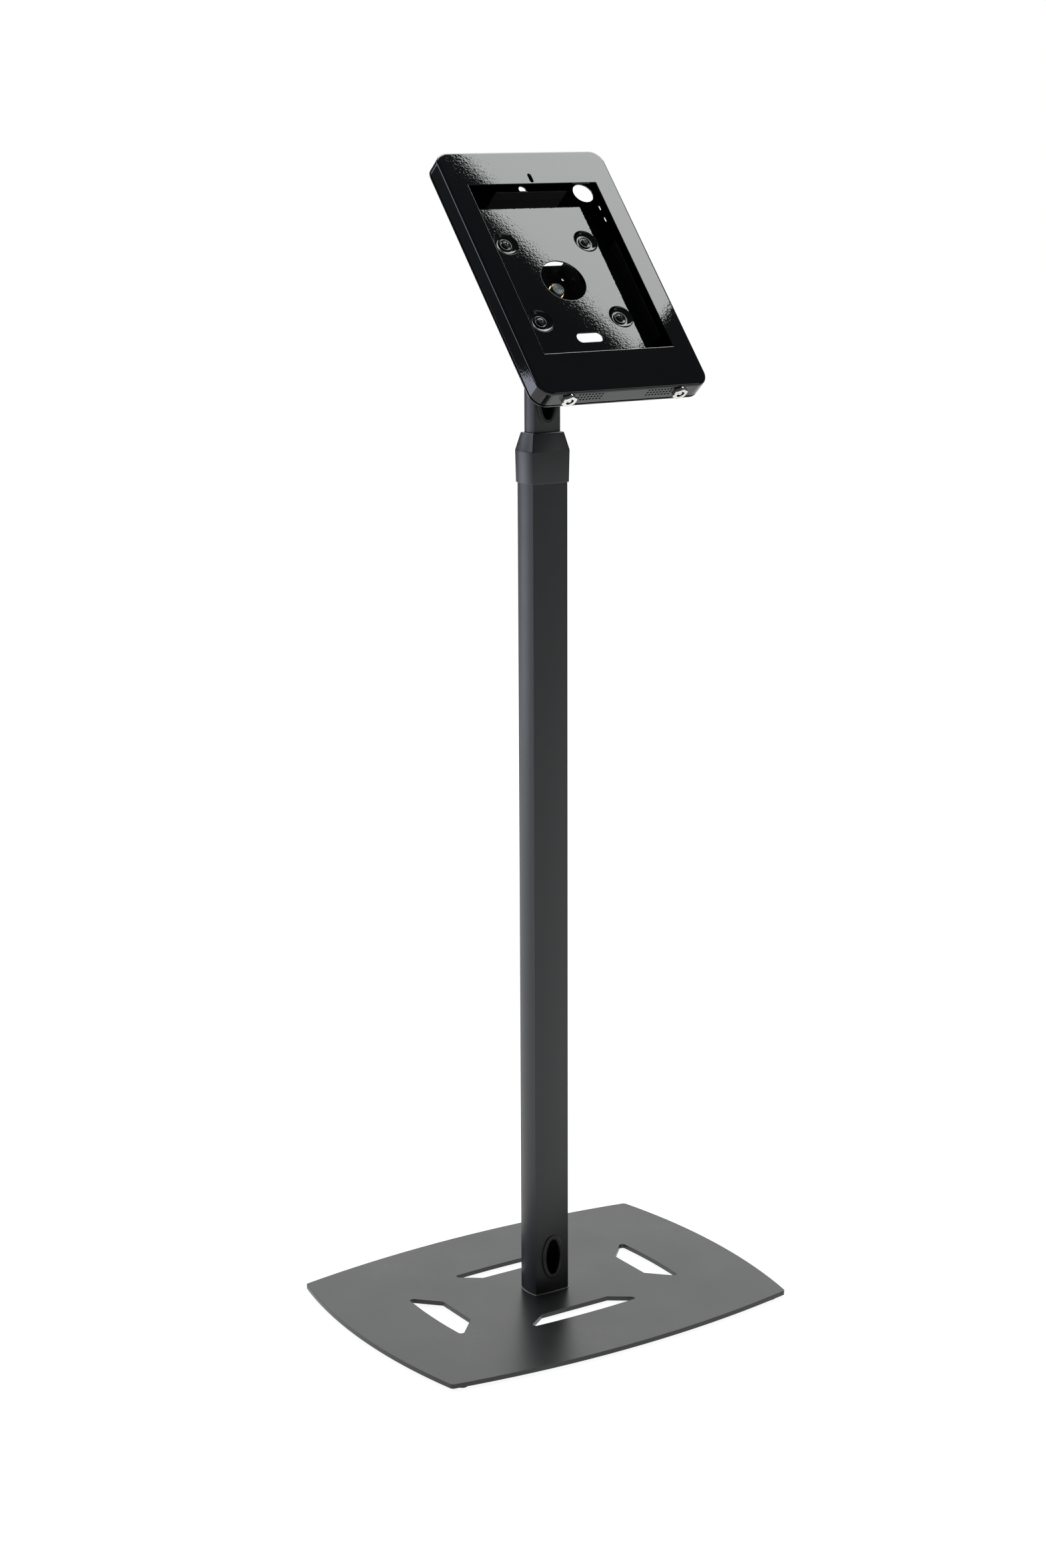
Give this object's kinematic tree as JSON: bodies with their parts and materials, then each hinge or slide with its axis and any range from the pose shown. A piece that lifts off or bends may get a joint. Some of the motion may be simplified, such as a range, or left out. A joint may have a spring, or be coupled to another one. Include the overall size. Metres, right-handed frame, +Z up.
{
  "type": "touchscreen kiosk stand",
  "caption": "Free-standing exhibition kiosk: bowed column on a slotted base, height slide, tilting and turning head, lockable enclosure with a hinged window cover",
  "frame": {"origin": "on the floor, on the column's axis", "axes": "+X to the viewer's right, -Y to the front, +Z up"},
  "size_m": [0.486, 0.3638, 1.2827],
  "materials": {
    "satin_black_steel": "satin black powder coat, fine texture",
    "gloss_black_steel": "glossy black powder coat, orange peel",
    "black_moulding": "moulded, satin",
    "slide_plastic": "self-lubricating plastic",
    "black_rubber": "moulded rubber",
    "pale_seal": "pale gasket bead",
    "chrome_plate": "polished plate",
    "zinc_steel": "zinc plated",
    "black_oxide_steel": "black oxide",
    "bearing_brass": "turned",
    "cast_aluminium": "as cast"
  },
  "bodies": {
    "base": {"base_plate": "satin_black_steel", "rubber_feet": "black_rubber", "base_screws": "zinc_steel", "column_block": "cast_aluminium", "column_seal": "pale_seal", "outer_column": "satin_black_steel", "lower_port_ring": "black_moulding", "guide_bush": "slide_plastic", "collar": "black_moulding", "height_lock_screw": "zinc_steel"},
    "mast": {"inner_tube": "satin_black_steel", "tube_glide": "slide_plastic", "upper_port_ring": "black_moulding", "tilt_head": "cast_aluminium", "tilt_head_pins": "zinc_steel"},
    "tilt": {"tilt_bracket": "gloss_black_steel", "tilt_bolt": "zinc_steel", "tilt_nut": "zinc_steel", "tilt_friction_discs": "slide_plastic", "pivot_bolt": "black_oxide_steel", "pivot_bearing_ring": "bearing_brass", "pivot_friction_disc": "slide_plastic", "pivot_spring_washer": "zinc_steel", "pivot_nut": "zinc_steel"},
    "enclosure": {"channel_bracket": "gloss_black_steel", "back_tray": "gloss_black_steel", "bracket_screws": "zinc_steel", "bracket_washers": "zinc_steel", "bracket_nuts": "zinc_steel", "rest_rail_top": "gloss_black_steel", "rest_rail_bottom": "gloss_black_steel", "rest_rail_left": "gloss_black_steel", "rest_rail_right": "gloss_black_steel"},
    "cover": {"front_cover": "gloss_black_steel", "lock_body_left": "chrome_plate", "lock_body_right": "chrome_plate", "lock_nut_left": "zinc_steel", "lock_nut_right": "zinc_steel"},
    "lock_left": {"lock_core_left": "chrome_plate", "lock_cam_left": "zinc_steel", "cam_screw_left": "zinc_steel"},
    "lock_right": {"lock_core_right": "chrome_plate", "lock_cam_right": "zinc_steel", "cam_screw_right": "zinc_steel"}
  },
  "joints": [
    {"name": "height_slide", "type": "slide", "parent": "base", "child": "mast", "axis": [0, 0, 1], "range_m": [0, 0.25]},
    {"name": "tilt_hinge", "type": "hinge", "parent": "mast", "child": "tilt", "pos_m": [0, 0, 1.1171], "axis": [1, 0, 0], "range_deg": [-45, 40]},
    {"name": "rotate_hinge", "type": "hinge", "parent": "tilt", "child": "enclosure", "pos_m": [0, -0.04152, 1.15332], "axis": [0, -0.7536, 0.6574], "range_deg": [0, 90]},
    {"name": "cover_open", "type": "hinge", "parent": "enclosure", "child": "cover", "pos_m": [0, 0.05816, 1.27172], "axis": [-1, 0, 0], "range_deg": [0, 110]},
    {"name": "lock_left_turn", "type": "hinge", "parent": "cover", "child": "lock_left", "pos_m": [-0.069, -0.15222, 1.04354], "axis": [0, -0.6574, -0.7536], "range_deg": [0, 90]},
    {"name": "lock_right_turn", "type": "hinge", "parent": "cover", "child": "lock_right", "pos_m": [0.069, -0.15222, 1.04354], "axis": [0, 0.6574, 0.7536], "range_deg": [0, 90]}
  ]
}
